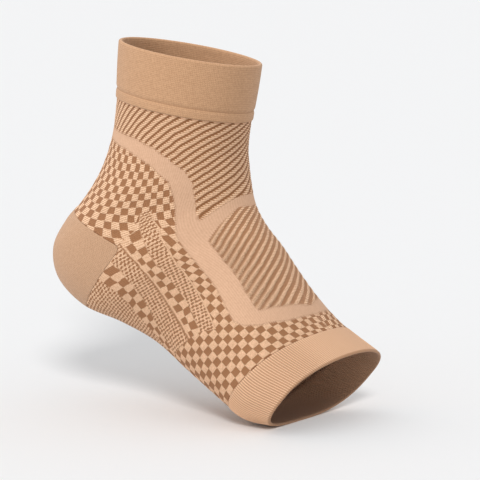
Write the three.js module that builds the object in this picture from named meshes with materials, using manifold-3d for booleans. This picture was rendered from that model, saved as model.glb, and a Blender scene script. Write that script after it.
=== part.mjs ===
// Knitted arch and ankle support sleeve with an open toe, in the shape it has when worn on a right foot
// that is pointed, heel lifted and ball of the foot on the floor.
// The pieces are a double turned cuff, the patterned knitted body, the plain knitted heel cup and the
// ribbed toe band. Each is a thin open shell, so the sleeve is hollow from the leg to the toes.
// Millimetres. The origin is the centre of the ankle, midway between the two ankle bones.
// +X points to the toes, +Y to the big-toe side and +Z up the leg.
import * as THREE from "three";
import { mergeVertices } from "three/addons/utils/BufferGeometryUtils.js";
import Module from "manifold-3d";

// Overall sizes of the sleeve as it is worn.
const LENGTH = 170; // back of the heel to the toe edge
const HEIGHT = 200; // floor under the ball of the foot to the top of the cuff
const ANKLE_WIDTH = 68; // across the ankle and the heel
const BALL_WIDTH = 82; // across the ball of the foot

// Heights and widths of the plain zones, measured along the knit.
const CUFF_HEIGHT = 30.5;
const TOE_BAND_ON_TOP = 18.5;
const TOE_BAND_ON_SOLE = 27.5;

// Wall thicknesses, and how far each piece stands out from the outer face of the body.
const BODY_WALL = 1.2;
const CUFF_WALL = 2.2;
const CUFF_PROUD = 0.8;
const HEEL_WALL = 1.5;
const HEEL_PROUD = 0.2;
const TOE_WALL = 1.6;
const TOE_PROUD = 0.3;
const SEAM_GAP = 0.3; // clearance where two pieces meet edge to edge

// The turned edges of the cuff and the toe band: how deep the fold is rounded, and the cuff's stitched hem.
const EDGE_ROUND = 1.2;
const HEM_HEIGHT = 5.5; // stitch line above the cuff's lower edge
const HEM_DEPTH = 0.4;
const HEM_SPREAD = 2.2;

// The heel cup is a wedge in side view. Its point lies below and behind the ankle.
const HEEL_POINT_BACK = 0.061 * LENGTH;
const HEEL_POINT_DOWN = 0.14 * HEIGHT;
const HEEL_UPPER_ANGLE = 156; // degrees from +X to the wedge's upper edge
const HEEL_LOWER_ANGLE = 231; // degrees from +X to the wedge's lower edge
const HEEL_POINT_ROUND = 4;

// Facets: columns around the sleeve, and rows along each piece.
const AROUND = 44;
const BODY_ROWS = 28;
const CUFF_ROWS = 10;
const TOE_ROWS = 7;
const OUTLINE_SAMPLES = 120;
const STEPS_PER_SECTION = 20;

// Closed outlines from the cuff to the toes. Each lies in a plane through a front and a back edge point.
// front and back are x and z from the ankle centre. lateral and medial are half widths. The powers make an
// outline rounder (2) or squarer (3) at its front and back. crown shifts the instep's ridge to the big-toe
// side, and slant carries the big-toe side forward, as a share of the distance across.
const SECTIONS = [
  { front: [0.309, 0.335], back: [-0.141, 0.4], half: [0.456, 0.456], power: [2, 2], crown: 0, slant: 0 },
  { front: [0.275, 0.178], back: [-0.153, 0.245], half: [0.456, 0.456], power: [2, 2], crown: 0, slant: 0 },
  { front: [0.265, 0.11], back: [-0.171, 0.14], half: [0.47, 0.47], power: [2, 2], crown: 0, slant: 0 },
  { front: [0.269, 0.07], back: [-0.215, 0.047], half: [0.485, 0.485], power: [2, 1.9], crown: 0, slant: 0 },
  { front: [0.274, 0.04], back: [-0.275, -0.033], half: [0.5, 0.5], power: [2, 2], crown: 0, slant: 0 },
  { front: [0.281, 0.012], back: [-0.335, -0.092], half: [0.5, 0.5], power: [2, 2.2], crown: 0, slant: 0 },
  { front: [0.288, -0.012], back: [-0.38, -0.17], half: [0.5, 0.5], power: [2, 2.4], crown: 0, slant: 0 },
  { front: [0.299, -0.039], back: [-0.359, -0.255], half: [0.5, 0.5], power: [2, 2.5], crown: 0, slant: 0 },
  { front: [0.314, -0.067], back: [-0.265, -0.325], half: [0.5, 0.5], power: [2, 2.5], crown: 0.01, slant: 0 },
  { front: [0.335, -0.096], back: [-0.129, -0.362], half: [0.415, 0.402], power: [2, 2.5], crown: 0.02, slant: 0 },
  { front: [0.368, -0.138], back: [0.003, -0.408], half: [0.427, 0.402], power: [2, 2.5], crown: 0.04, slant: 0.04 },
  { front: [0.406, -0.195], back: [0.127, -0.477], half: [0.451, 0.415], power: [2, 2.6], crown: 0.05, slant: 0.08 },
  { front: [0.452, -0.26], back: [0.252, -0.543], half: [0.476, 0.439], power: [2, 2.7], crown: 0.06, slant: 0.12 },
  { front: [0.513, -0.331], back: [0.353, -0.586], half: [0.5, 0.463], power: [2.1, 2.8], crown: 0.07, slant: 0.17 },
  { front: [0.618, -0.408], back: [0.464, -0.592], half: [0.506, 0.475], power: [2.2, 3], crown: 0.09, slant: 0.2 },
];
const LEG_SECTIONS = 9; // the first nine take their widths from the ankle, the others from the ball
const COLOURS = { knit: 0xc79d78, plain: 0xcba37e };

// One row of the table in millimetres: front x, front z, back x, back z, half widths, powers, crown, slant.
function sectionSizes(section, index) {
  const width = index < LEG_SECTIONS ? ANKLE_WIDTH : BALL_WIDTH;
  return [
    section.front[0] * LENGTH,
    section.front[1] * HEIGHT,
    section.back[0] * LENGTH,
    section.back[1] * HEIGHT,
    section.half[0] * width,
    section.half[1] * width,
    section.power[0],
    section.power[1],
    section.crown * BALL_WIDTH,
    section.slant,
  ];
}
const ROWS = SECTIONS.map(sectionSizes);
const LAST = ROWS.length - 1;

// Catmull-Rom blend of four values.
function blend(a, b, c, d, f) {
  return 0.5 * (2 * b + (c - a) * f + (2 * a - 5 * b + 4 * c - d) * f ** 2 + (3 * b - a - 3 * c + d) * f ** 3);
}

// The outline's sizes at a station along the sleeve: 0 is the first section, 1 the second, and so on.
function sizesAt(station) {
  const i = Math.min(Math.max(Math.floor(station), 0), LAST - 1);
  const before = ROWS[i - 1] ?? ROWS[0].map((v, k) => 2 * v - ROWS[1][k]);
  const after = ROWS[i + 2] ?? ROWS[LAST].map((v, k) => 2 * v - ROWS[LAST - 1][k]);
  return ROWS[i].map((v, k) => blend(before[k], v, ROWS[i + 1][k], after[k], station - i));
}

// A point of the outline at an angle from its front edge point: a rounded oval with its own widths and powers.
function ovalPoint(sizes, angle) {
  const [frontX, frontZ, backX, backZ, lateral, medial, frontPower, backPower, crown, slant] = sizes;
  const c = Math.cos(angle);
  const s = Math.sin(angle);
  const power = backPower + ((frontPower - backPower) * (1 + c)) / 2;
  const along = (1 + Math.sign(c) * Math.abs(c) ** (2 / power)) / 2;
  const across = Math.sign(s) * Math.abs(s) ** (2 / power);
  const y = (s < 0 ? lateral : medial) * across + crown * along;
  return new THREE.Vector3(backX + (frontX - backX) * along + slant * y, y, backZ + (frontZ - backZ) * along);
}

// A point of the sleeve's outer face. wale is the share of the way round from the front edge, measured along
// the outline, because knitted columns are evenly spaced.
function facePoint(station, wale) {
  const sizes = sizesAt(station);
  const points = [];
  const lengths = [0];
  for (let k = 0; k <= OUTLINE_SAMPLES; k++) {
    points.push(ovalPoint(sizes, (2 * Math.PI * k) / OUTLINE_SAMPLES));
    if (k) lengths.push(lengths[k - 1] + points[k].distanceTo(points[k - 1]));
  }
  const goal = (((wale % 1) + 1) % 1) * lengths[OUTLINE_SAMPLES];
  let k = 1;
  while (k < OUTLINE_SAMPLES && lengths[k] < goal) k++;
  const share = (goal - lengths[k - 1]) / (lengths[k] - lengths[k - 1]);
  return points[k - 1].clone().lerp(points[k], share);
}

// The outward normal there, from small steps along and around the sleeve.
function faceNormal(station, wale) {
  const step = 0.02;
  const low = Math.max(station - step, 0);
  const high = Math.min(station + step, LAST);
  const along = facePoint(high, wale).sub(facePoint(low, wale));
  const around = facePoint(station, wale + step / 2).sub(facePoint(station, wale - step / 2));
  return along.cross(around).normalize();
}

// The station that lies a length along the knit from a starting station, at one column of stitches.
function stationAfter(start, wale, length, direction) {
  const step = direction / STEPS_PER_SECTION;
  let station = start;
  let here = facePoint(station, wale);
  for (let walked = 0; station + step >= 0 && station + step <= LAST; station += step) {
    const next = facePoint(station + step, wale);
    const stride = next.distanceTo(here);
    if (walked + stride >= length) return station + (step * (length - walked)) / stride;
    walked += stride;
    here = next;
  }
  return direction > 0 ? LAST : 0;
}

// Where the zones end, as a station for each column. The toe band is wider under the sole than on top.
function cuffEnd(wale, past = 0) {
  return stationAfter(0, wale, CUFF_HEIGHT + past, 1);
}
function toeBandStart(wale, before = 0) {
  const underSole = (1 - Math.cos(2 * Math.PI * wale)) / 2;
  const width = TOE_BAND_ON_TOP + (TOE_BAND_ON_SOLE - TOE_BAND_ON_TOP) * underSole;
  return stationAfter(LAST, wale, width + before, -1);
}

// A folded edge is rounded: the wall thins over the last stretch, on both faces alike.
function foldedEdge(distance) {
  if (distance >= EDGE_ROUND) return 0;
  const left = 1 - distance / EDGE_ROUND;
  return 1 - Math.sqrt(1 - left ** 2 * 0.75);
}

// A closed shell between two edges. Its outer face stands proud of the body's face, and its inner face is one
// wall further in. relief(share, wale) moves the outer face in, and thins the wall, by a few tenths.
function shell({ start, end, rows, wall, proud, relief = () => [0, 0], shares = null }) {
  const positions = [];
  const stops = shares ?? Array.from({ length: rows + 1 }, (_, i) => i / rows);
  const count = stops.length;
  for (const side of [0, 1]) {
    for (const share of stops) {
      for (let j = 0; j < AROUND; j++) {
        const wale = j / AROUND;
        const station = start(wale) + (end(wale) - start(wale)) * share;
        const [outerDip, innerDip] = relief(share, wale);
        const offset = side ? proud - wall + innerDip : proud - outerDip;
        positions.push(...facePoint(station, wale).addScaledVector(faceNormal(station, wale), offset));
      }
    }
  }
  const at = (side, i, j) => (side * count + i) * AROUND + (j % AROUND);
  const faces = [];
  const quad = (a, b, c, d) => faces.push(a, b, c, a, c, d);
  for (let j = 0; j < AROUND; j++) {
    for (let i = 0; i + 1 < count; i++) {
      quad(at(0, i, j), at(0, i + 1, j), at(0, i + 1, j + 1), at(0, i, j + 1));
      quad(at(1, i, j), at(1, i, j + 1), at(1, i + 1, j + 1), at(1, i + 1, j));
    }
    quad(at(0, 0, j), at(0, 0, j + 1), at(1, 0, j + 1), at(1, 0, j));
    quad(at(0, count - 1, j), at(1, count - 1, j), at(1, count - 1, j + 1), at(0, count - 1, j + 1));
  }
  const geometry = new THREE.BufferGeometry();
  geometry.setAttribute("position", new THREE.Float32BufferAttribute(positions, 3));
  geometry.setIndex(faces);
  return geometry;
}

// Turned double cuff at the leg: a folded top edge, and a hem line stitched above its lower edge.
function cuffGeometry() {
  const stops = [0, 0.3, 0.7, 1.2].map((part) => (part * EDGE_ROUND) / CUFF_HEIGHT);
  const hem = 1 - HEM_HEIGHT / CUFF_HEIGHT;
  const spread = HEM_SPREAD / CUFF_HEIGHT;
  const middle = Array.from({ length: CUFF_ROWS - 6 }, (_, i) => 0.12 + (i * (hem - 0.2)) / (CUFF_ROWS - 6));
  const lower = [hem - spread, hem, hem + spread, 1 - EDGE_ROUND / CUFF_HEIGHT, 1];
  const relief = (share) => {
    const top = foldedEdge(share * CUFF_HEIGHT) * (CUFF_WALL / 2);
    const bottom = foldedEdge((1 - share) * CUFF_HEIGHT) * (CUFF_PROUD / 2);
    const stitched = HEM_DEPTH * Math.max(0, 1 - Math.abs(share - hem) / spread);
    return [top + bottom + stitched, top];
  };
  const stopsInOrder = [...stops, ...middle, ...lower].sort((a, b) => a - b);
  return shell({
    start: () => 0,
    end: (wale) => cuffEnd(wale),
    shares: stopsInOrder,
    wall: CUFF_WALL,
    proud: CUFF_PROUD,
    relief,
  });
}

// Ribbed band at the toes, with a folded edge.
function toeBandGeometry() {
  const edgeShares = [1.2, 0.7, 0.3, 0].map((part) => 1 - (part * EDGE_ROUND) / TOE_BAND_ON_TOP);
  const stops = Array.from({ length: TOE_ROWS }, (_, i) => (i * 0.93) / TOE_ROWS);
  const relief = (share) => {
    const edge = foldedEdge((1 - share) * TOE_BAND_ON_TOP) * (TOE_WALL / 2);
    return [edge, edge];
  };
  return shell({
    start: (wale) => toeBandStart(wale),
    end: () => LAST,
    shares: [...stops, ...edgeShares],
    wall: TOE_WALL,
    proud: TOE_PROUD,
    relief,
  });
}

// Knitted tube from the cuff to the toe band, before the heel is cut out of it.
function tubeGeometry(wall, proud) {
  return shell({
    start: (wale) => cuffEnd(wale, SEAM_GAP),
    end: (wale) => toeBandStart(wale, SEAM_GAP),
    rows: BODY_ROWS,
    wall,
    proud,
  });
}

// The heel's wedge in side view, as a prism across the whole sleeve. grow widens it all round.
function heelWedge(grow) {
  const upper = THREE.MathUtils.degToRad(HEEL_UPPER_ANGLE);
  const lower = THREE.MathUtils.degToRad(HEEL_LOWER_ANGLE);
  const middle = (upper + lower) / 2;
  const shift = grow / Math.sin((lower - upper) / 2);
  const point = new THREE.Vector2(
    -HEEL_POINT_BACK - shift * Math.cos(middle),
    -HEEL_POINT_DOWN - shift * Math.sin(middle),
  );
  const reach = (angle, length) => [point.x + length * Math.cos(angle), point.y + length * Math.sin(angle)];
  const outline = new THREE.Shape();
  outline.moveTo(...reach(upper, LENGTH));
  outline.lineTo(...reach(upper, HEEL_POINT_ROUND));
  outline.quadraticCurveTo(point.x, point.y, ...reach(lower, HEEL_POINT_ROUND));
  outline.lineTo(...reach(lower, LENGTH));
  outline.closePath();
  const depth = 2 * BALL_WIDTH;
  const prism = new THREE.ExtrudeGeometry(outline, { depth, bevelEnabled: false, curveSegments: 6 });
  return prism.rotateX(Math.PI / 2).translate(0, depth / 2, 0);
}

const wasm = await Module();
wasm.setup();

function toSolid(geometry) {
  const bare = new THREE.BufferGeometry();
  bare.setAttribute("position", geometry.getAttribute("position").clone());
  if (geometry.index) bare.setIndex(geometry.index);
  const merged = mergeVertices(bare, 1e-4);
  return new wasm.Manifold(
    new wasm.Mesh({
      numProp: 3,
      vertProperties: merged.attributes.position.array,
      triVerts: new Uint32Array(merged.index.array),
    }),
  );
}

function toGeometry(solid) {
  const mesh = solid.getMesh();
  const geometry = new THREE.BufferGeometry();
  geometry.setAttribute("position", new THREE.BufferAttribute(new Float32Array(mesh.vertProperties), 3));
  geometry.setIndex(new THREE.BufferAttribute(new Uint32Array(mesh.triVerts), 1));
  geometry.computeVertexNormals();
  return geometry;
}

function piece(name, geometry, colour, roughness) {
  const material = new THREE.MeshStandardMaterial({ color: colour, roughness, metalness: 0 });
  const mesh = new THREE.Mesh(geometry, material);
  mesh.name = name;
  return mesh;
}

const body = toSolid(tubeGeometry(BODY_WALL, 0)).subtract(toSolid(heelWedge(SEAM_GAP)));
const heel = toSolid(tubeGeometry(HEEL_WALL, HEEL_PROUD)).intersect(toSolid(heelWedge(0)));

const sleeve = new THREE.Group();
sleeve.add(
  piece("top_cuff", cuffGeometry(), COLOURS.plain, 0.85),
  piece("knitted_body", toGeometry(body), COLOURS.knit, 0.9),
  piece("heel_cup", toGeometry(heel), COLOURS.plain, 0.85),
  piece("toe_band", toeBandGeometry(), COLOURS.plain, 0.85),
);

export default sleeve;
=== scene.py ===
import math

import bpy
import numpy as np
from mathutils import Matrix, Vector


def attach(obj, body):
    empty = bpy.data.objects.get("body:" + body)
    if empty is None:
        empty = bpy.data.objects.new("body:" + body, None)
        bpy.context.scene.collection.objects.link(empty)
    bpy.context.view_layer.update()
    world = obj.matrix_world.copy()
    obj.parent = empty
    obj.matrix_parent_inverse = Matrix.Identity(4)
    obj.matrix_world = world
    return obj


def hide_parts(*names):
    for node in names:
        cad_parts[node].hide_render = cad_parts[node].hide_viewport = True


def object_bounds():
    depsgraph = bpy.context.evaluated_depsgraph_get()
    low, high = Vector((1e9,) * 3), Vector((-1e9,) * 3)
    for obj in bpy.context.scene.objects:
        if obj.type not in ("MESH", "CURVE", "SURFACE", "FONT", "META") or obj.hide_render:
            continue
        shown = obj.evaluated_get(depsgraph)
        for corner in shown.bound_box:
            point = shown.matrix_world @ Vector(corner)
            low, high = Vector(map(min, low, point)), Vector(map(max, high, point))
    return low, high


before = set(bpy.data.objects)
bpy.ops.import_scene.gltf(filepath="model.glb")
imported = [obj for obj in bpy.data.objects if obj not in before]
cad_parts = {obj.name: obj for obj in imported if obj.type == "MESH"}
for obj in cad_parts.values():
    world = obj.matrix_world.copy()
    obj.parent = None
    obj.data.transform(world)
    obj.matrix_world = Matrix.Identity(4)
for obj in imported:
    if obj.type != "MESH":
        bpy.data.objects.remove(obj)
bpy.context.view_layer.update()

# Knitted body
# A seamless tube of nylon and elastane yarn, knitted in one go from the cuff to the toe band and shaped
# by the foot it is pulled over. Two yarns, light beige and brown, make its stripes, checks and mesh.
# All pieces of the sleeve lie on one form: a stack of closed outlines from the cuff's top to the toe edge.
LENGTH = 0.170         # back of the heel to the toe edge
HEIGHT = 0.200         # floor to the cuff's top
ANKLE_WIDTH = 0.068
BALL_WIDTH = 0.082
LEG_SECTIONS = 9       # the first nine outlines take their widths from the ankle, the others from the ball
SECTIONS = np.array([
    # x is a share of LENGTH, z of HEIGHT, the sides of ANKLE_WIDTH or BALL_WIDTH, and the crown of BALL_WIDTH.
    # front x, front z, back x, back z, lateral, medial, front power, back power, crown, slant
    [0.309, 0.335, -0.141, 0.400, 0.456, 0.456, 2.0, 2.0, 0.00, 0.00],
    [0.275, 0.178, -0.153, 0.245, 0.456, 0.456, 2.0, 2.0, 0.00, 0.00],
    [0.265, 0.110, -0.171, 0.140, 0.470, 0.470, 2.0, 2.0, 0.00, 0.00],
    [0.269, 0.070, -0.215, 0.047, 0.485, 0.485, 2.0, 1.9, 0.00, 0.00],
    [0.274, 0.040, -0.275, -0.033, 0.500, 0.500, 2.0, 2.0, 0.00, 0.00],
    [0.281, 0.012, -0.335, -0.092, 0.500, 0.500, 2.0, 2.2, 0.00, 0.00],
    [0.288, -0.012, -0.380, -0.170, 0.500, 0.500, 2.0, 2.4, 0.00, 0.00],
    [0.299, -0.039, -0.359, -0.255, 0.500, 0.500, 2.0, 2.5, 0.00, 0.00],
    [0.314, -0.067, -0.265, -0.325, 0.500, 0.500, 2.0, 2.5, 0.01, 0.00],
    [0.335, -0.096, -0.129, -0.362, 0.415, 0.402, 2.0, 2.5, 0.02, 0.00],
    [0.368, -0.138, 0.003, -0.408, 0.427, 0.402, 2.0, 2.5, 0.04, 0.04],
    [0.406, -0.195, 0.127, -0.477, 0.451, 0.415, 2.0, 2.6, 0.05, 0.08],
    [0.452, -0.260, 0.252, -0.543, 0.476, 0.439, 2.0, 2.7, 0.06, 0.12],
    [0.513, -0.331, 0.353, -0.586, 0.500, 0.463, 2.1, 2.8, 0.07, 0.17],
    [0.618, -0.408, 0.464, -0.592, 0.506, 0.475, 2.2, 3.0, 0.09, 0.20],
])
LAST = len(SECTIONS) - 1
FORM_ROWS = 40 * LAST + 1    # forty steps from each section to the next
FORM_WALES = 721

sections = SECTIONS * 1.0
sections[:, [0, 2]] *= LENGTH
sections[:, [1, 3]] *= HEIGHT
sections[:LEG_SECTIONS, 4:6] *= ANKLE_WIDTH
sections[LEG_SECTIONS:, 4:6] *= BALL_WIDTH
sections[:, 8] *= BALL_WIDTH


def sizes_at(stations):
    """Catmull-Rom through the table's rows. The end rows are carried on in a straight line."""
    rows = np.vstack([2 * sections[0] - sections[1], sections, 2 * sections[-1] - sections[-2]])
    first = np.clip(np.floor(stations).astype(int), 0, LAST - 1)
    f = (stations - first)[:, None]
    a, b, c, d = rows[first], rows[first + 1], rows[first + 2], rows[first + 3]
    bend, twist = 2 * a - 5 * b + 4 * c - d, 3 * b - a - 3 * c + d
    return 0.5 * (2 * b + (c - a) * f + bend * f ** 2 + twist * f ** 3)


def oval_rows(stations, wales):
    """Rounded ovals, one row a station: |cos|^(2/p) runs from the back edge to the front edge and
    |sin|^(2/p) to the two sides, with its own power p at the front and the back. The crown moves the front
    edge to the big-toe side, and the slant carries that side forward. Each row is then spaced evenly."""
    sizes = sizes_at(stations).T[..., None]
    front_x, front_z, back_x, back_z, lateral, medial, front_p, back_p, crown, slant = sizes
    angle = np.linspace(0, 2 * math.pi, 2 * wales - 1)[None]
    c, s = np.cos(angle), np.sin(angle)
    power = back_p + (front_p - back_p) * (1 + c) / 2
    along = (1 + np.sign(c) * np.abs(c) ** (2 / power)) / 2
    across = np.sign(s) * np.abs(s) ** (2 / power)
    y = np.where(s < 0, lateral, medial) * across + crown * along
    x = back_x + (front_x - back_x) * along + slant * y
    z = back_z + (front_z - back_z) * along
    points = np.stack([x, y, z], -1)
    strides = np.linalg.norm(np.diff(points, axis=1), axis=2)
    lengths = np.concatenate([np.zeros((len(points), 1)), np.cumsum(strides, axis=1)], axis=1)
    even = [np.stack([np.interp(np.linspace(0, run[-1], wales), run, row[:, k]) for k in range(3)], -1)
            for run, row in zip(lengths, points)]
    return np.array(even)


def smooth_step(value, low, high):
    """0 below low, 1 above high, and an S-curve between."""
    share = np.clip((value - low) / (high - low), 0, 1)
    return share * share * (3 - 2 * share)


form = oval_rows(np.linspace(0, LAST, FORM_ROWS), FORM_WALES)
along_form = np.gradient(form, axis=0)
around_form = np.gradient(form, axis=1)
around_form[:, 0] = around_form[:, -1] = (form[:, 1] - form[:, -2]) / 2
outward = np.cross(along_form, around_form)
outward /= np.linalg.norm(outward, axis=2, keepdims=True)
strides = np.linalg.norm(np.diff(form, axis=0), axis=2)
from_cuff = np.vstack([np.zeros(FORM_WALES), np.cumsum(strides, axis=0)])


def on_form(field, station, wale):
    """Bilinear value of a field of the form at stations (0 to the last section) and wales (0 to 1 round)."""
    row = np.clip(station / LAST, 0, 1) * (FORM_ROWS - 1)
    column = wale * (FORM_WALES - 1)
    i = np.clip(np.floor(row).astype(int), 0, FORM_ROWS - 2)
    j = np.clip(np.floor(column).astype(int), 0, FORM_WALES - 2)
    a, b = row - i, column - j
    if field.ndim == 3:
        a, b = a[..., None], b[..., None]
    low = field[i, j] * (1 - b) + field[i, j + 1] * b
    high = field[i + 1, j] * (1 - b) + field[i + 1, j + 1] * b
    return low * (1 - a) + high * a


CUFF_HEIGHT = 0.0305
TOE_BAND_ON_TOP = 0.0185
TOE_BAND_ON_SOLE = 0.0275
SEAM_GAP = 0.00004     # the pieces all but touch, as knitted ones do
BODY_COLUMNS = 360
FOLD_STEPS = 5
MM = 1000.0            # knit attributes are kept in millimetres, so that the patterns' pitches read as such


def lengths_at(wales):
    """Length walked along the form from the cuff's top, one row a station and one column a wale."""
    return np.array([np.interp(wales, np.linspace(0, 1, FORM_WALES), row) for row in from_cuff])


def round_of(columns):
    """Evenly spaced wales all the way round, with the first one again at the end."""
    return np.linspace(0, 1, columns + 1)


def toe_band_start(wales):
    """Length from the cuff's top to the toe band. Its width grows from the top to the middle of the sole as
    (1 - cos) / 2 of the way round."""
    share = (1 - np.cos(2 * math.pi * wales)) / 2
    return lengths_at(wales)[-1] - TOE_BAND_ON_TOP - (TOE_BAND_ON_SOLE - TOE_BAND_ON_TOP) * share


def knit_fields(signed, walked, left, station, inner):
    """Where a point lies in the knit: signed share of the way round from the front (positive on the
    little-toe side), millimetres from the cuff's top and to the toe edge along its column, station, share of
    the way round, and 1 on the inner face."""
    return {"knit": (signed, walked * MM, left * MM), "place": (station, np.abs(signed), inner)}


def knit_shell(name, start, end, wall, proud, folds, rows, inner_rows, fields=knit_fields, relief=None):
    """A closed shell between two lengths along each wale. Its profile runs along the outer face, round the
    end fold, back along the inner face and round the start fold. On a fold depth goes from one face to the
    other as (1 - cos) / 2, and the edge is reached as sin. The relief moves the outer face only."""
    turn = np.linspace(0, math.pi, FOLD_STEPS + 2)[1:-1]
    flat, inner_flat, none = np.zeros(rows), np.zeros(inner_rows), np.zeros(FOLD_STEPS)
    there, back = np.linspace(0, 1, rows), np.linspace(1, 0, inner_rows)
    share = np.concatenate([there, none + 1, back, none])[:, None]
    depth = np.concatenate([flat, (1 - np.cos(turn)) / 2, inner_flat + 1, (1 + np.cos(turn)) / 2])[:, None]
    reach = np.concatenate([flat, folds[1] * np.sin(turn), inner_flat, -folds[0] * np.sin(turn)])[:, None]
    columns = len(start) - 1
    wales = round_of(columns)
    lengths = lengths_at(wales)
    walked = start + folds[0] + share * (end - start - sum(folds)) + reach
    stations = np.linspace(0, LAST, FORM_ROWS)
    station = np.stack([np.interp(walked[:, k], lengths[:, k], stations) for k in range(columns + 1)], 1)
    wale = np.broadcast_to(wales, station.shape)
    left = lengths[-1] - walked
    signed = np.where(wale > 0.5, 1 - wale, -wale)
    inner = np.broadcast_to((depth > 0.5) * 1.0, station.shape)
    push = proud - wall * depth
    if relief is not None:
        push = push + (1 - depth) * relief(signed, walked, left, station, share)
    points = on_form(form, station, wale) + on_form(outward, station, wale) * push[..., None]
    count = len(share)
    i, j = np.meshgrid(np.arange(count), np.arange(columns), indexing="ij")
    below = (i + 1) % count
    beside = (j + 1) % columns
    quads = np.stack([i * columns + j, below * columns + j,
                      below * columns + beside, i * columns + beside], -1)
    mesh = bpy.data.meshes.new(name)
    mesh.from_pydata(points[:, :-1].reshape(-1, 3), [], quads.reshape(-1, 4).tolist())
    corners = [(i, j), (below, j), (below, j + 1), (i, j + 1)]
    at_corner = [np.stack([field[a, b] for a, b in corners], -1).reshape(-1, 4)
                 for field in (signed, walked, left, station, inner)]
    across_back = np.ptp(at_corner[0], axis=1) > 0.5
    at_corner[0][across_back] %= 1.0
    for label, values in fields(*at_corner).items():
        attribute = mesh.attributes.new(label, "FLOAT_VECTOR", "CORNER")
        attribute.data.foreach_set("vector", np.stack(values, -1).astype(np.float32).ravel())
    mesh.polygons.foreach_set("use_smooth", np.ones(len(mesh.polygons), bool))
    mesh.update()
    piece = bpy.data.objects.new(name, mesh)
    bpy.context.scene.collection.objects.link(piece)
    return piece


# The zones of the pattern, as closed outlines in (share of the way round from the front, station).
# The same outlines serve both sides of the foot.
UPPER_STRIPES = [(0.0, -1.0), (0.5, -1.0), (0.5, 1.55), (0.411, 1.68), (0.301, 1.80), (0.244, 2.02),
                 (0.207, 2.35), (0.161, 2.93), (0.135, 3.73), (0.117, 5.23), (0.110, 6.65), (0.099, 6.60),
                 (0.060, 5.95), (0.036, 5.60), (0.0, 5.55)]
INSTEP_STRIPES = [(0.0, 6.75), (0.035, 6.53), (0.117, 8.08), (0.136, 9.6), (0.147, 11.53), (0.142, 11.70),
                  (0.085, 12.05), (0.0, 12.42)]
CHECKED_FIELD = [(0.5, 1.90), (0.419, 1.98), (0.326, 2.18), (0.289, 2.35), (0.242, 2.68), (0.189, 3.50),
                 (0.171, 4.20), (0.153, 5.35), (0.149, 6.25), (0.157, 7.35), (0.161, 8.10), (0.182, 9.50),
                 (0.192, 10.33), (0.206, 11.35), (0.196, 11.68), (0.160, 12.10), (0.096, 12.55),
                 (0.042, 12.68), (0.0, 12.73), (0.0, 15.0), (0.5, 15.0)]
ARCH = [(0.165, 5.36), (0.200, 5.20), (0.222, 5.30), (0.226, 6.20), (0.262, 6.60), (0.292, 7.12),
        (0.322, 7.38), (0.371, 7.73), (0.412, 8.03), (0.5, 8.3), (0.5, 10.6), (0.37, 10.62), (0.32, 10.68),
        (0.28, 10.82), (0.25, 11.10), (0.165, 11.15)]
# Five lines along the foot part the arch into strips. Each row is one line's way round at these stations.
LINE_STATIONS = [5.4, 6.4, 7.0, 7.6, 8.2, 8.7, 9.4, 10.0, 10.6, 11.1]
ARCH_LINES = [[0.200, 0.181, 0.182, 0.183, 0.192, 0.201, 0.215, 0.228, 0.239, 0.250],
              [0.218, 0.214, 0.213, 0.217, 0.222, 0.233, 0.247, 0.260, 0.276, 0.288],
              [0.272, 0.260, 0.252, 0.247, 0.252, 0.265, 0.285, 0.302, 0.314, 0.325],
              [0.300, 0.295, 0.289, 0.283, 0.291, 0.304, 0.334, 0.367, 0.390, 0.410],
              [0.345, 0.340, 0.338, 0.333, 0.328, 0.344, 0.369, 0.390, 0.420, 0.440]]
ZONE_SCALE = np.array([240.0, 12.0])   # about a millimetre a unit, for the way round and for a station


def depth_in(outline, away, station):
    """Millimetres inside a closed outline, negative outside: the least distance to its sides, signed by the
    even-odd rule."""
    x, y = away * ZONE_SCALE[0], station * ZONE_SCALE[1]
    ends = np.array(outline) * ZONE_SCALE
    nearest = np.full(x.shape, np.inf)
    inside = np.zeros(x.shape, bool)
    for (ax, ay), (bx, by) in zip(ends, np.roll(ends, -1, axis=0)):
        across, up = bx - ax, by - ay
        share = np.clip(((x - ax) * across + (y - ay) * up) / (across ** 2 + up ** 2), 0, 1)
        nearest = np.minimum(nearest, np.hypot(x - ax - share * across, y - ay - share * up))
        crosses = (ay > y) != (by > y)
        inside ^= crosses & (x < ax + across * (y - ay) / np.where(up == 0, 1e-9, up))
    return np.where(inside, nearest, -nearest)


def strip_number(away, station):
    """Which strip of the arch a point lies in: 1 on the first line, 2 on the second, and evenly between."""
    lines = [np.interp(station, LINE_STATIONS, line) for line in ARCH_LINES]
    number = 1 + (away - lines[0]) / (lines[1] - lines[0])
    for k, (line, following) in enumerate(zip(lines[1:], lines[2:])):
        number = np.where(away > line, k + 2 + (away - line) / (following - line), number)
    return number


STRIPES_AROUND = 47        # stripes round the leg
STRIPES_PER_MM = 0.2225    # and along it
INSTEP_AROUND = 31.7       # the same for the stripes on the instep
INSTEP_PER_MM = 0.2554
ANKLE_CELLS_AROUND = 61.3  # checks round the ankle
ANKLE_CELL = 4.324         # millimetres a row of them
FORE_CELLS_AROUND = 59.4   # checks round the forefoot
FORE_CELL = 3.66


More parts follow.
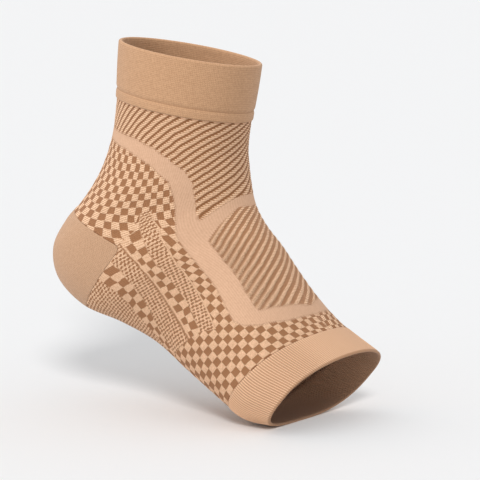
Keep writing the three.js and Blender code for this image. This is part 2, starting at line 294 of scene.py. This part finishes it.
def pattern_fields(signed, walked, left, station, inner):
    """The knit's place, and the phases of its patterns. A stripe's phase is N * round + along / pitch, and
    a check's column and row are the same two terms kept apart. Small square and product terms about the
    middle of each zone follow the way that the ankle and the heel stretch the knit."""
    away = np.abs(signed)
    s, t = walked * MM, left * MM
    turned = 2 * math.pi * (signed - 0.2)
    leg = (s - 45) / 20
    upper = (STRIPES_AROUND * signed - STRIPES_PER_MM * s + 2.09 * (1 - np.cos(turned)) + 0.395 * leg ** 2
             + 1.30 * leg * np.sin(turned) - 0.405)
    beside, foot = signed - 0.06, (t - 65) / 20
    instep = (INSTEP_AROUND * signed + INSTEP_PER_MM * t - 32.0 * beside ** 2 + 0.329 * foot ** 2
              + 5.96 * beside * foot + 0.446)
    v, ankle = away - 0.3, (s - 78) / 20
    ankle_column = ANKLE_CELLS_AROUND * away + 0.571 * ankle - 13.6 * ankle * v - 17.5 * v ** 2 - 0.753
    ankle_row = (s - 37.0 * v + 296.0 * v ** 2) / ANKLE_CELL + 0.151
    toes = (t - 78) / 20
    fore_column = FORE_CELLS_AROUND * away + 0.072 * toes + 5.44 * toes * v - 37.7 * v ** 2 + 0.883
    fore_row = (t - 22.6 * v - 32.7 * v ** 2) / FORE_CELL + 0.283
    unused = np.zeros_like(away)
    fields = knit_fields(signed, walked, left, station, inner)
    fields["stripes"] = (upper, instep, unused)
    fields["ankle_cells"] = (ankle_column, ankle_row, unused)
    fields["fore_cells"] = (fore_column, fore_row, unused)
    zones = (CHECKED_FIELD, UPPER_STRIPES, INSTEP_STRIPES)
    fields["zones"] = tuple(depth_in(zone, away, station) for zone in zones)
    fields["arch"] = (depth_in(ARCH, away, station), strip_number(away, station), unused)
    return fields


BODY_WALL = 0.0012
BODY_FOLDS = (0.0001, 0.0001)
BODY_ROWS = 216
BODY_INNER_ROWS = 24
STRIPE_RELIEF = 0.00028    # how far a stripe's ridge stands over its groove
CHECK_RELIEF = 0.00014
UPPER_CREST = 0.66         # the phase in the middle of a stripe's light yarn
INSTEP_CREST = 0.25
ZONE_FADE = 1.2            # millimetres
FORE_CHECKS_AT = 7.25      # the station where the ankle's checks give way to the forefoot's


def body_relief(signed, walked, left, station, share):
    """Ridges of the stripes, cos / 2 of their phase about the crest, highest in the middle of the light
    yarn, and low pillows of the checks, sin * sin. Both fade out at the edges of their zones."""
    fields = pattern_fields(signed, walked, left, station, np.zeros_like(station))
    on_field, on_upper, on_instep = [smooth_step(depth, 0, ZONE_FADE) for depth in fields["zones"]]
    upper_phase, instep_phase, _ = fields["stripes"]
    arch_depth, strip, _ = fields["arch"]
    on_arch = smooth_step(arch_depth, 0, 1) * smooth_step(strip, 0.9, 1.1)
    ridges = on_upper * np.cos(2 * math.pi * (upper_phase - UPPER_CREST)) / 2
    ridges = ridges + on_instep * np.cos(2 * math.pi * (instep_phase - INSTEP_CREST)) / 2
    ankle, fore = [np.sin(math.pi * fields[cells][0]) * np.sin(math.pi * fields[cells][1])
                   for cells in ("ankle_cells", "fore_cells")]
    near_toes = smooth_step(station, FORE_CHECKS_AT - 0.25, FORE_CHECKS_AT + 0.35)
    checks = on_field * (1 - on_arch) * (ankle * (1 - near_toes) + fore * near_toes)
    return STRIPE_RELIEF * ridges + CHECK_RELIEF * checks


body_start = np.full(BODY_COLUMNS + 1, CUFF_HEIGHT + SEAM_GAP)
body_end = toe_band_start(round_of(BODY_COLUMNS)) - SEAM_GAP
body = knit_shell("patterned_body", body_start, body_end, BODY_WALL, 0.0, BODY_FOLDS, BODY_ROWS,
                  BODY_INNER_ROWS, pattern_fields, body_relief)

HEEL_POINT = (-0.061 * LENGTH, -0.14 * HEIGHT)
HEEL_UPPER_ANGLE = 156.0   # degrees up from the toes' direction
HEEL_LOWER_ANGLE = 231.0
HEEL_POINT_ROUND = 0.004
WEDGE_REACH = 0.15         # well past the back of the heel


def heel_wedge(name, grow):
    """A prism across the sleeve. Its outline is a wedge whose point is a quadratic curve between points a
    rounding's length along its two edges, moved out by grow all round."""
    upper, lower = math.radians(HEEL_UPPER_ANGLE), math.radians(HEEL_LOWER_ANGLE)
    middle = (upper + lower) / 2
    shift = grow / math.sin((lower - upper) / 2)
    point = np.array(HEEL_POINT) - shift * np.array([math.cos(middle), math.sin(middle)])
    up_edge, low_edge = [np.array([math.cos(angle), math.sin(angle)]) for angle in (upper, lower)]
    t = np.linspace(0, 1, 9)[:, None]
    curve = point + HEEL_POINT_ROUND * ((1 - t) ** 2 * up_edge + t ** 2 * low_edge)
    outline = np.vstack([point + WEDGE_REACH * up_edge, curve, point + WEDGE_REACH * low_edge])
    count = len(outline)
    sides = [np.column_stack([outline[:, 0], np.full(count, y), outline[:, 1]])
             for y in (-BALL_WIDTH, BALL_WIDTH)]
    k = np.arange(count)
    walls = np.stack([k, (k + 1) % count, (k + 1) % count + count, k + count], -1).tolist()
    mesh = bpy.data.meshes.new(name)
    mesh.from_pydata(np.vstack(sides), [], walls + [k[::-1].tolist(), (k + count).tolist()])
    wedge = bpy.data.objects.new(name, mesh)
    bpy.context.scene.collection.objects.link(wedge)
    return wedge


def cut_by(piece, wedge, operation):
    """Cuts a piece by a wedge for good, and takes the wedge away."""
    modifier = piece.modifiers.new("heel", "BOOLEAN")
    modifier.operation = operation
    modifier.solver = "MANIFOLD"
    modifier.object = wedge
    cut = bpy.data.meshes.new_from_object(piece.evaluated_get(bpy.context.evaluated_depsgraph_get()))
    piece.modifiers.clear()
    whole = piece.data
    piece.data = cut
    cut.name = piece.name
    bpy.data.meshes.remove(whole)
    bpy.data.objects.remove(wedge)


cut_by(body, heel_wedge("heel_space", SEAM_GAP), "DIFFERENCE")


class Wire:
    """A socket of a material's nodes. Python's operators on it add Math nodes."""

    def __init__(self, tree, socket):
        self.tree = tree
        self.socket = socket

    def node(self, kind, settings=None, values=None, output=0):
        """Adds a node, sets its settings and then its sockets by name or number, and gives one output."""
        made = self.tree.nodes.new("ShaderNode" + kind)
        for setting, value in (settings or {}).items():
            setattr(made, setting, value)
        for place, value in (values or {}).items():
            if isinstance(value, Wire):
                self.tree.links.new(value.socket, made.inputs[place])
            else:
                made.inputs[place].default_value = value
        return Wire(self.tree, made.outputs[output])

    def maths(self, operation, *others):
        """This value and others through one Math node."""
        return self.node("Math", {"operation": operation}, dict(enumerate((self, *others))))

    def __add__(self, other):
        return self.maths("ADD", other)

    def __sub__(self, other):
        return self.maths("SUBTRACT", other)

    def __rsub__(self, other):
        return self.node("Math", {"operation": "SUBTRACT"}, {0: other, 1: self})

    def __mul__(self, other):
        return self.maths("MULTIPLY", other)

    def __truediv__(self, other):
        return self.maths("DIVIDE", other)

    __radd__ = __add__
    __rmul__ = __mul__

    def wave(self):
        """Sine of a phase that is counted in whole turns."""
        return (self * (2 * math.pi)).maths("SINE")

    def step(self, low, high):
        """0 below low and 1 above high, with a smooth rise."""
        settings = {"interpolation_type": "SMOOTHSTEP"}
        return self.node("MapRange", settings, {"Value": self, "From Min": low, "From Max": high})

    def checked(self, other):
        """Light and brown squares of two phases that are counted in squares."""
        across, along = [(phase / 2).wave().step(-0.16, 0.16) for phase in (self, other)]
        return across * along * 2 - across - along + 1

    def between(self, low, high, edge):
        """1 between two values, falling to 0 over an edge's width."""
        return self.step(low - edge, low + edge) * (1 - self.step(high - edge, high + edge))

    def mix(self, low, high):
        """A colour between two, by this share."""
        return self.node("Mix", {"data_type": "RGBA"}, {0: self, 6: low, 7: high}, 2)


def linear(red, green, blue):
    """A display colour of 0 to 255 as linear light, with alpha."""
    values = np.array([red, green, blue]) / 255
    light = np.where(values <= 0.04045, values / 12.92, ((values + 0.055) / 1.055) ** 2.4)
    return (*light.tolist(), 1.0)


def fabric(name, roughness, sheen):
    """A matt fabric: a Principled shader with a little sheen. Gives the material, the shader, and a wire
    with no socket, from which the first nodes are added."""
    material = bpy.data.materials.new(name)
    material.use_nodes = True
    tree = material.node_tree
    shader = tree.nodes["Principled BSDF"]
    shader.inputs["Roughness"].default_value = roughness
    shader.inputs["Specular IOR Level"].default_value = 0.2
    shader.inputs["Sheen Weight"].default_value = sheen
    shader.inputs["Sheen Roughness"].default_value = 0.6
    return material, shader, Wire(tree, None)


def attribute(start, label):
    """The three numbers of a knit attribute."""
    vector = start.node("Attribute", {"attribute_name": label}, {}, 1)
    split = vector.node("SeparateXYZ", {}, {0: vector})
    outputs = split.socket.node.outputs
    return [Wire(split.tree, outputs[k]) for k in range(3)]


def finish_surface(shader, colour, height, distance):
    """Joins a colour and a height, through a bump of the given depth in metres, to the shader."""
    bump = height.node("Bump", {}, {"Height": height, "Distance": distance, "Strength": 1.0})
    colour.tree.links.new(colour.socket, shader.inputs["Base Color"])
    colour.tree.links.new(bump.socket, shader.inputs["Normal"])


LIGHT_YARN = linear(184, 137, 100)
# the light yarn's painted highlight, on the crests of its stitches
YARN_HIGHLIGHT = linear(250, 209, 173)
BROWN_YARN = linear(169, 119, 82)
# the brown yarn in painted shade, for the grooves of the leg's stripes
BROWN_GROOVE_SHADE = linear(138, 92, 57)
BAND_KNIT = linear(208, 168, 138)
BAND_LOW = linear(194, 154, 124)
REVERSE_KNIT = linear(172, 132, 103)
ROUGHNESS = 0.85       # of all three knits
WALES = 220            # stitches round the sleeve
COURSE = 0.95          # millimetres a row of stitches
STITCH = 0.9           # how far the zones' edges step from stitch to stitch, in millimetres
TOOTH = 0.36           # how far a stitch steps a stripe's edge, as a share of a stripe and its gap
BAND_WALES = 190
MESH_AROUND = 110
MESH_COURSE = 1.85     # millimetres
STRIP_SLANT = 106.0    # millimetres a turn: the arch's checks lie square to its strips
STRIP_ROW = 4.4        # millimetres a check
STITCH_DEPTH = 0.0002  # metres
OBJECT = 3             # the number of the Object output among a material's coordinates


def arch_knit(signed, away, left, strip, wander, grain):
    """Light yarn under the arch: two columns of checks in every second strip, and in the others a mesh,
    which is two crossed sine waves and grain, cut off at a level."""
    along_strip = left - away * STRIP_SLANT
    checks = (strip * 2 + wander * 0.7).checked(along_strip / STRIP_ROW + wander * 0.7)
    rows = (along_strip / MESH_COURSE + wander).wave()
    columns = (signed * MESH_AROUND + along_strip * 0.25).wave()
    mesh = (rows + columns * 0.8 + grain * 3.5).step(-0.45, 0.15)
    on_mesh = strip.between(1.0, 2.0, 0.06) + strip.between(3.0, 4.0, 0.06) + strip.step(4.95, 5.05)
    return checks + (mesh - checks) * on_mesh


def patterned_knit():
    """Light and brown yarn by the zones: stripes whose edges the stitches tooth, checks whose light cells
    show their courses, mesh and columns of checks under the arch, and the plain light band that borders them
    all. Noise makes the phases wander, so that no two cells are quite alike. A painted highlight lightens the
    stitches, and on the leg's stripes painted shade darkens the brown towards the light yarn's edge."""
    material, shader, start = fabric("patterned_knit", ROUGHNESS, 0.05)
    signed, walked, left = attribute(start, "knit")
    station, away, inner = attribute(start, "place")
    field, upper, instep = attribute(start, "zones")
    upper_phase, instep_phase, _ = attribute(start, "stripes")
    ankle_column, ankle_row, _ = attribute(start, "ankle_cells")
    fore_column, fore_row, _ = attribute(start, "fore_cells")
    arch_depth, strip, _ = attribute(start, "arch")

    places = start.node("TexCoord", {}, {}, OBJECT)
    wander = start.node("TexNoise", {}, {"Vector": places, "Scale": 130.0, "Detail": 3.0}) - 0.5
    grain = start.node("TexNoise", {}, {"Vector": places, "Scale": 1100.0}) - 0.5
    course, wale = walked / COURSE, signed * WALES
    leg_of_stitch = (course + wale.maths("PINGPONG", 0.5)).wave()
    tooth = course.maths("FRACT") * TOOTH
    across = (upper_phase + wander * 0.4).maths("FRACT")
    upper_light = across.step(0.22, 0.42) * (1 - (across + tooth).step(0.98, 1.04))
    lean = away.step(0.02, 0.14)
    instep_tooth = (tooth - TOOTH / 2) * lean * 1.7
    instep_wave = (instep_phase - instep_tooth + wander * 0.35 + grain * lean * 0.4).wave()
    instep_light = (instep_wave + lean * 0.45).step(0.05, 0.35).maths("MAXIMUM", (1 - lean) * 0.12)
    ankle_cell = (ankle_column + wander * 0.5).checked(ankle_row + wander * 0.5)
    fore_cell = (fore_column + wander * 0.4).checked(fore_row + wander * 0.4)
    at_forefoot = station.step(FORE_CHECKS_AT - 0.05, FORE_CHECKS_AT + 0.05)
    cell_light = ankle_cell + (fore_cell - ankle_cell) * at_forefoot
    arch_light = arch_knit(signed, away, left, strip, wander, grain)
    light_line = strip.between(0.92, 1.03, 0.05) + strip.between(2.86, 2.98, 0.04)
    brown_line = strip.between(3.0, 3.08, 0.04)
    on_arch = arch_depth.step(-0.3, 0.3) * strip.step(0.9, 0.95)
    field_light = (cell_light + (arch_light - cell_light) * on_arch).maths("MAXIMUM", light_line * on_arch)
    field_light = field_light * (1 - brown_line * on_arch * 0.8)

    jag = (course.maths("FRACT") + wale.maths("FRACT") - 1) * STITCH
    on_upper, on_instep, on_field = [(depth + jag).step(-0.2, 0.2) for depth in (upper, instep, field)]
    patterned = on_upper.maths("MAXIMUM", on_instep).maths("MAXIMUM", on_field)
    light = on_upper * upper_light + on_instep * instep_light + on_field * field_light
    light = light / patterned.maths("MAXIMUM", 0.01)
    # painted highlight on the stitches' crests and courses, mixed with random grain; it lightens the light
    # yarn and, a little, the brown
    stitch_highlight_and_grain = (leg_of_stitch * 0.3 + course.wave() + grain * 1.8).step(-1.1, 0.7)
    light_yarn = stitch_highlight_and_grain.mix(LIGHT_YARN, YARN_HIGHLIGHT)
    on_top = (1 - lean) * on_instep
    # painted shade of the brown: on the leg's stripes it deepens towards the light yarn's edge, as in the
    # grooves; elsewhere it follows the stitches' painted highlight and is lighter on top of the instep
    shade = on_upper * (across * 2.6 - 0.3) + (1 - on_upper) * (stitch_highlight_and_grain * 0.6 + 0.3 + on_top * 0.3)
    brown_yarn = shade.mix(BROWN_GROOVE_SHADE, BROWN_YARN)
    pattern = light.mix(brown_yarn, light_yarn)
    band = ((signed * BAND_WALES).wave() * 0.2 + grain * 1.4 + 0.5).step(0.0, 1.0).mix(BAND_LOW, BAND_KNIT)
    colour = inner.step(0.4, 0.6).mix(patterned.mix(band, pattern), REVERSE_KNIT)
    height = (leg_of_stitch * 0.5 + wale.wave() * 0.3) * (patterned * 0.8 + 0.2) + light * patterned * 0.8
    finish_surface(shader, colour, height, STITCH_DEPTH)
    return material


body.data.materials.clear()
body.data.materials.append(patterned_knit())
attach(body, "root")
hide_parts("knitted_body")

# Heel cup
# A plain turned heel of the light yarn alone, knitted into the tube, so that it fits round the heel.
# It fills the wedge that is left open in the patterned knit, and stands a hair proud of it.
HEEL_WALL = 0.0015
HEEL_PROUD = 0.0001
HEEL_STATIONS = (4.2, 8.9)    # a ring of the form, from which the wedge cuts the heel
HEEL_ROWS = 90
HEEL_INNER_ROWS = 30
# the heel knit's colours; the lighter is reached where the stitches stand up, as painted highlight, and where
# the grain is light
HEEL_LOW = linear(173, 134, 103)
HEEL_HIGH = linear(197, 157, 124)
HEEL_WALES = 260
HEEL_COURSE = 0.9      # millimetres
FINE_DEPTH = 0.0001    # how deep plain stitches are, in metres

heel_lengths = lengths_at(round_of(BODY_COLUMNS))
heel_start, heel_end = [heel_lengths[round(station * (FORM_ROWS - 1) / LAST)] for station in HEEL_STATIONS]
heel = knit_shell("plain_heel", heel_start, heel_end, HEEL_WALL, HEEL_PROUD, BODY_FOLDS, HEEL_ROWS,
                  HEEL_INNER_ROWS)
cut_by(heel, heel_wedge("heel_cut", 0.0), "INTERSECT")


def plain_knit(name, low, high, wales, course, groove, seam=-1.0):
    """Smooth plain knit: fine V stitches in one yarn, a sine of the course plus a wale there and back,
    with a painted highlight where a stitch stands up, and random grain. A seam's stitches, at so many
    millimetres from the cuff's top, draw a darker line."""
    material, shader, start = fabric(name, ROUGHNESS, 0.12)
    signed, walked, _ = attribute(start, "knit")
    wale = signed * wales
    stitch = (walked / course + wale.maths("PINGPONG", 0.5)).wave()
    grain = start.node("TexNoise", {}, {"Vector": start.node("TexCoord", {}, {}, OBJECT), "Scale": 900.0})
    height = stitch * 0.5 + wale.wave() * groove
    stitches = walked.between(seam - 0.3, seam + 0.3, 0.3)
    # painted highlight where the stitches stand up, mixed with random grain
    share = (height * 0.5 + grain - stitches * 0.45).step(0.0, 1.0)
    finish_surface(shader, share.mix(low, high), height, FINE_DEPTH)
    return material


heel.data.materials.clear()
heel.data.materials.append(plain_knit("heel_knit", HEEL_LOW, HEEL_HIGH, HEEL_WALES, HEEL_COURSE, 0.4))
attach(heel, "root")
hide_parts("heel_cup")

# Top cuff
# A band of smooth plain knit round the leg, turned double so that its top edge is a fold. A row of stitches
# near its lower edge holds the inner layer down and draws a shallow line into the outer one.
CUFF_WALL = 0.0022
CUFF_PROUD = 0.0008
CUFF_FOLDS = (0.0009, 0.0011)
HEM_HEIGHT = 0.0055
HEM_DEPTH = 0.0005
HEM_SPREAD = 0.0018
HEM_AT = CUFF_HEIGHT - HEM_HEIGHT
CUFF_SWELL = 0.0002
CUFF_COLUMNS = 240
CUFF_ROWS = 56
CUFF_INNER_ROWS = 14
# the cuff knit's colours; the lighter is reached where the stitches stand up, as painted highlight, and where
# the grain is light
CUFF_LOW = linear(173, 131, 96)
CUFF_HIGH = linear(202, 159, 122)
CUFF_WALES = 240


def cuff_relief(signed, walked, left, station, share):
    """A dip like a bell curve, exp(-x * x), along the hem's stitches, and half a sine of swelling above."""
    above_hem = (HEM_AT - walked) / (HEM_SPREAD / 2)
    swell = np.sin(math.pi * np.clip(walked / HEM_AT, 0, 1))
    return CUFF_SWELL * swell - HEM_DEPTH * np.exp(-above_hem ** 2)


cuff_top, cuff_edge = np.zeros(CUFF_COLUMNS + 1), np.full(CUFF_COLUMNS + 1, CUFF_HEIGHT)
cuff = knit_shell("plain_cuff", cuff_top, cuff_edge, CUFF_WALL, CUFF_PROUD, CUFF_FOLDS, CUFF_ROWS,
                  CUFF_INNER_ROWS, relief=cuff_relief)
cuff_knit = plain_knit("cuff_knit", CUFF_LOW, CUFF_HIGH, CUFF_WALES, COURSE, 0.3, HEM_AT * MM)
cuff.data.materials.append(cuff_knit)
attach(cuff, "root")
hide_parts("top_cuff")

# Toe band
# A band of elastic knit with fine ribs along the foot, which grips round the ball. Its ribs are clear on the
# sides and fade on top of the foot. The toe edge is a fold with a thin darker line.
TOE_WALL = 0.0016
TOE_PROUD = 0.0002
TOE_FOLDS = (0.0001, 0.0008)
TOE_RIBS = 166
TOE_COLUMNS = 6 * TOE_RIBS
TOE_ROWS = 26
TOE_INNER_ROWS = 8
RIB_RELIEF = 0.00016
# the darker colour fills the gaps between the ribs as painted shade, and the thin line at the toe edge
RIB_LOW = linear(174, 131, 97)
RIB_HIGH = linear(221, 178, 143)
TOE_COURSE = 0.9       # millimetres


def toe_relief(signed, walked, left, station, share):
    """Ribs as a cosine round the foot, lower on top of it, that die away at the band's two edges."""
    low_on_top = 0.35 + 0.65 * smooth_step(np.abs(signed), 0.06, 0.16)
    inside_edges = smooth_step(share, 0, 0.06) * smooth_step(1 - share, 0, 0.06)
    return RIB_RELIEF * low_on_top * inside_edges * np.cos(2 * math.pi * TOE_RIBS * signed)


def ribbed_knit():
    """Light ribs with darker gaps between them, which are painted shade, crossed by faint courses. The
    band's sides are lifted a little with painted light.
    """
    material, shader, start = fabric("ribbed_knit", ROUGHNESS, 0.12)
    signed, walked, left = attribute(start, "knit")
    _, away, inner = attribute(start, "place")
    on_side = away.step(0.03, 0.16)
    # painted shade: the gaps between the ribs are darker, in step with the ribs' relief
    rib = (signed * TOE_RIBS + 0.25).wave() * on_side
    course = (walked / TOE_COURSE).wave()
    edge = 1 - left.step(0.8, 1.5)
    # on_side * 0.1 is painted light: the band's sides are a little lighter than its top
    share = (rib * 0.42 + on_side * 0.1 + 0.55 - edge * 0.6).step(0.0, 1.0)
    colour = inner.step(0.4, 0.6).mix(share.mix(RIB_LOW, RIB_HIGH), REVERSE_KNIT)
    finish_surface(shader, colour, course * 0.2 + rib * 0.8, STITCH_DEPTH)
    return material


toe_wales = round_of(TOE_COLUMNS)
toe = knit_shell("ribbed_band", toe_band_start(toe_wales), lengths_at(toe_wales)[-1], TOE_WALL, TOE_PROUD,
                 TOE_FOLDS, TOE_ROWS, TOE_INNER_ROWS, relief=toe_relief)
toe.data.materials.append(ribbed_knit())
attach(toe, "root")
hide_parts("toe_band")

# Floor
# A studio's light grey sweep, far larger than the picture, so that its edge never shows. Its paint is matt and
# takes a soft shadow.
FLOOR_HALF = 20.0
FLOOR_PAINT = (0.91, 0.91, 0.91, 1.0)
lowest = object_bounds()[0].z
floor_mesh = bpy.data.meshes.new("floor")
floor_corners = [(-FLOOR_HALF, -FLOOR_HALF, lowest), (FLOOR_HALF, -FLOOR_HALF, lowest),
                 (FLOOR_HALF, FLOOR_HALF, lowest), (-FLOOR_HALF, FLOOR_HALF, lowest)]
floor_mesh.from_pydata(floor_corners, [], [(0, 1, 2, 3)])
floor = bpy.data.objects.new("floor", floor_mesh)
bpy.context.scene.collection.objects.link(floor)
floor_paint, floor_shader, _ = fabric("floor_paint", 0.9, 0.0)
floor_shader.inputs["Base Color"].default_value = FLOOR_PAINT
floor_mesh.materials.append(floor_paint)

# Light
# A bright, even studio. The photo's floor and sleeve are lit from two sides: the floor's light stands beside
# the camera and draws the shadow, and the sleeve has a soft key from the upper left and a light from high on
# the right.
STUDIO_COLOUR = (0.99, 1.0, 1.015, 1.0)
STUDIO_STRENGTH = 0.70
WHITE = (1.0, 1.0, 1.0)
WARM = (1.0, 0.995, 0.99)
world = bpy.data.worlds.new("studio")
world.use_nodes = True
world.node_tree.nodes["Background"].inputs["Color"].default_value = STUDIO_COLOUR
world.node_tree.nodes["Background"].inputs["Strength"].default_value = STUDIO_STRENGTH
bpy.context.scene.world = world


def toward(azimuth, elevation):
    """A unit vector to an azimuth, counted from the little-toe side towards the toes, and an elevation."""
    a, e = math.radians(azimuth), math.radians(elevation)
    return Vector((math.sin(a) * math.cos(e), -math.cos(a) * math.cos(e), math.sin(e)))


def far_light(name, azimuth, elevation, spread, strength, colour, *lit):
    """A light from far away that shines on some objects only. Its spread is its width in degrees, and the
    wider it is, the softer the shadow."""
    lamp = bpy.data.lights.new(name, "SUN")
    lamp.angle = math.radians(spread)
    lamp.energy = strength * math.pi
    lamp.color = colour
    holder = bpy.data.objects.new(name, lamp)
    holder.rotation_euler = toward(azimuth, elevation).to_track_quat("Z", "Y").to_euler()
    bpy.context.scene.collection.objects.link(holder)
    receivers = bpy.data.collections.new(name + "_lit")
    for thing in lit:
        receivers.objects.link(thing)
    holder.light_linking.receiver_collection = receivers


far_light("floor_key", 29, 32, 14, 0.585, WARM, floor)
far_light("sleeve_key", -28, 33, 30, 0.55, WHITE, body, heel, cuff, toe)
far_light("sleeve_top", 48, 70, 40, 0.34, WHITE, body, heel, cuff, toe)

# Camera
# It stands 1.2 metres off on the little-toe side, turned a little towards the toes and just above the sleeve,
# and looks at a point ahead of the ankle, where the middle of the photo lies.
AIM = Vector((0.043, 0.0, -0.025))
CAMERA_AZIMUTH = 25.0
CAMERA_ELEVATION = 8.0
CAMERA_DISTANCE = 1.2
LENS = 171.1           # millimetres, as the sensor's width
SENSOR_WIDTH = 36.0
camera = bpy.data.objects.new("camera", bpy.data.cameras.new("camera"))
camera.data.lens = LENS
camera.data.sensor_width = SENSOR_WIDTH
camera_side = toward(CAMERA_AZIMUTH, CAMERA_ELEVATION)
camera.location = AIM + CAMERA_DISTANCE * camera_side
camera.rotation_euler = camera_side.to_track_quat("Z", "Y").to_euler()
bpy.context.scene.collection.objects.link(camera)
bpy.context.scene.camera = camera
bpy.context.scene.view_settings.view_transform = "Standard"
